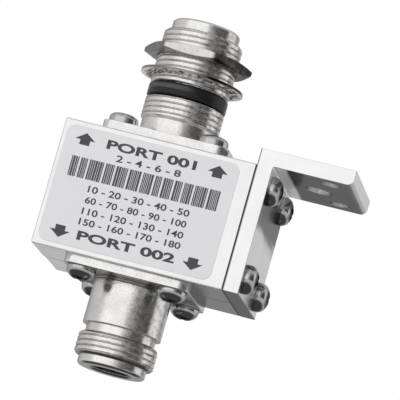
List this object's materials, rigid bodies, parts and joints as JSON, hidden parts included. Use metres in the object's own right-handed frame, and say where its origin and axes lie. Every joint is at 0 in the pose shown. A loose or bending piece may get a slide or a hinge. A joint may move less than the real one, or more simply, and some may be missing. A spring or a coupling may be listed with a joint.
{
  "type": "coax lightning arrestor",
  "caption": "Block-shaped coaxial lightning arrestor with a threaded bulkhead jack above, a threaded jack below and an angle bracket at one side, for grounding surges on a coaxial line.",
  "frame": {"origin": "centre of the equipment jack's open rim, on the common axis of both jacks", "axes": "+Z along the jacks' axis towards the antenna end, -Y out of the label face, +X towards the bracket"},
  "size_m": [0.0574, 0.0282, 0.0707],
  "materials": {
    "housing": "satin, machined",
    "bracket": "satin, extruded angle",
    "nickel": "nickel-plated, turned",
    "nut": "nickel-plated",
    "washer": "plated spring steel",
    "screws": "polished stainless",
    "seal": "black rubber",
    "insulator": "white fluoropolymer",
    "contact": "gold-plated",
    "label": "printed film",
    "plates": "bare brass",
    "ceramic": "fired ceramic",
    "spring": "bronze strip"
  },
  "bodies": {
    "root": {"front_housing": "housing", "rear_housing": "housing", "antenna_jack": "nickel", "equipment_jack": "nickel", "antenna_insulator": "insulator", "equipment_insulator": "insulator", "antenna_contact": "contact", "equipment_contact": "contact", "antenna_flange_screws": "screws", "equipment_flange_screws": "screws", "seal_ring": "seal", "bracket": "bracket", "bracket_screws": "screws", "label": "label", "antenna_plate": "plates", "equipment_plate": "plates", "plate_spacer": "insulator", "gas_tube": "ceramic", "gas_tube_caps": "nickel", "tube_spring": "spring"},
    "washer": {"lock_washer": "washer"},
    "nut": {"bulkhead_nut": "nut"}
  },
  "joints": [
    {"name": "nut_turn", "type": "hinge", "parent": "root", "child": "washer", "pos_m": [0, 0, 0.0594], "axis": [0, 0, 1], "range_deg": [-900, 1140]},
    {"name": "nut_travel", "type": "slide", "parent": "washer", "child": "nut", "axis": [0, 0, 1], "range_m": [-0.00265, 0.00336]}
  ],
  "couplings": [
    {"joint": "nut_travel", "follows": "nut_turn", "m_per_rad": 0.00016844}
  ]
}
